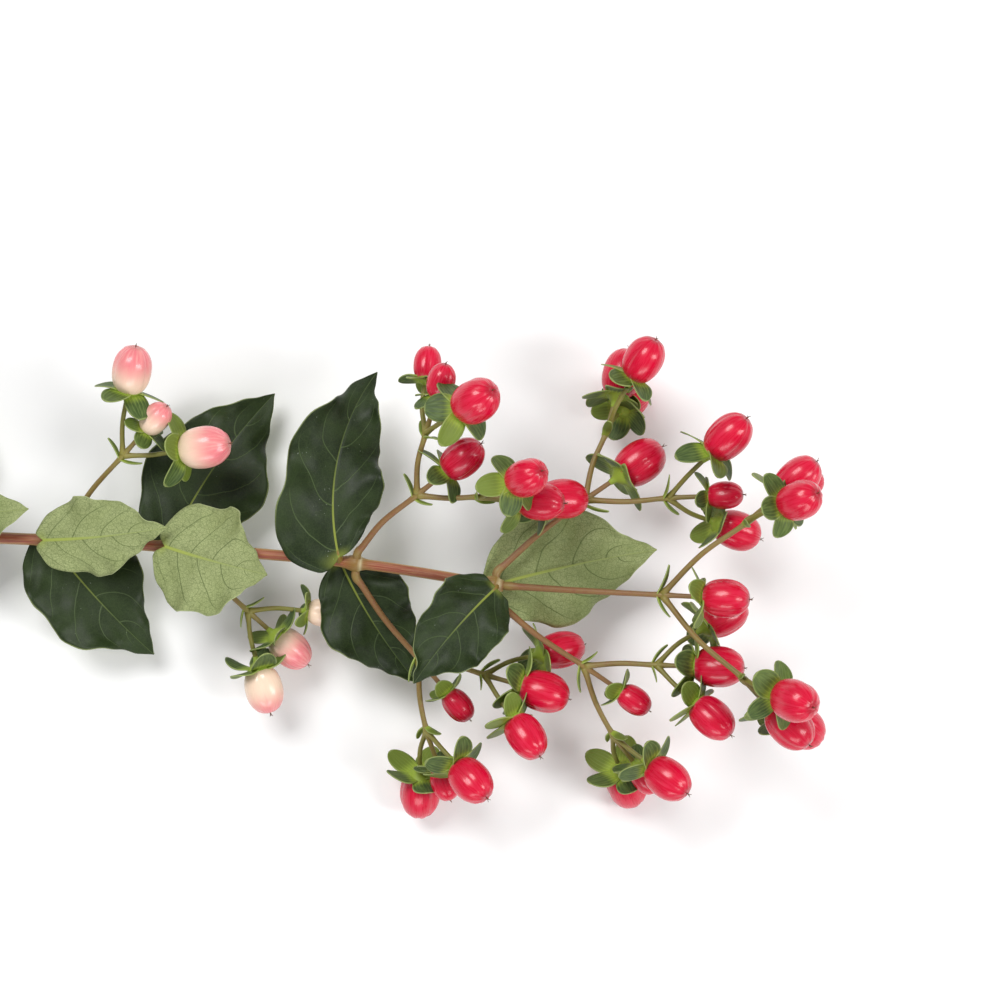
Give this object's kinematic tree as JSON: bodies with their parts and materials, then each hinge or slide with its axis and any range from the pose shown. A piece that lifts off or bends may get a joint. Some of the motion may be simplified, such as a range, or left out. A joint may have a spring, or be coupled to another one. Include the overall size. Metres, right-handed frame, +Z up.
{
  "type": "hypericum berry stem",
  "caption": "Cut, lying stem of hypericum: a slender woody stem with opposite heart-shaped leaves and forking sprays of ripe red oval berries above green sepals.",
  "frame": {"origin": "on the surface it lies on, under the middle of the stem's bounding box", "axes": "+X along the stem from its cut end to the berries, +Z up from the surface it lies on"},
  "size_m": [0.3886, 0.115, 0.0666],
  "materials": {
    "stem": "satin",
    "leaf": "satin",
    "berry": "gloss",
    "unripe_berry": "satin"
  },
  "bodies": {
    "root": {"main_stem": "stem", "leaf_1_left": "leaf", "leaf_1_right": "leaf", "leaf_2_top": "leaf", "leaf_2_under": "leaf", "leaf_3_top": "leaf", "leaf_3_under": "leaf", "leaf_4_top": "leaf", "leaf_4_under": "leaf", "leaf_5_left": "leaf", "leaf_5_right": "leaf", "leaf_6_top": "leaf", "leaf_6_under": "leaf", "spray_1": "berry", "spray_2": "berry", "spray_3": "berry", "spray_4": "berry", "spray_5": "berry", "side_shoot_1": "unripe_berry", "side_shoot_2": "unripe_berry"}
  },
  "joints": []
}
